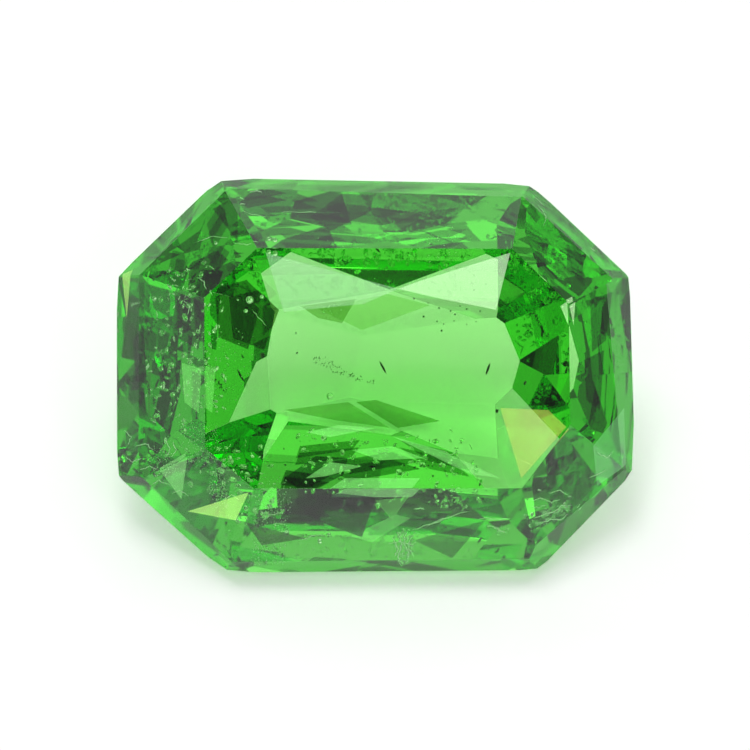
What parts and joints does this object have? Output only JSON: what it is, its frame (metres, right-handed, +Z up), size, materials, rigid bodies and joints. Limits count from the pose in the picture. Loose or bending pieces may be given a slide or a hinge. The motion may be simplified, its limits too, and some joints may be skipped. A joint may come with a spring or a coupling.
{
  "type": "faceted tsavorite garnet",
  "caption": "Octagonal cut green garnet with a broad flat table, stepped crown and deep pavilion, lying on its pavilion with the table leaning to the front.",
  "frame": {"origin": "middle of the bounding box, on the surface that the stone lies on", "axes": "+X along the stone's length, +Y towards its back side, +Z up; the table leans 33 degrees towards -Y, the front"},
  "size_m": [0.0072, 0.0048, 0.0033],
  "materials": {
    "garnet": "polished clear green crystal"
  },
  "bodies": {
    "root": {"tsavorite_garnet": "garnet"}
  },
  "joints": []
}
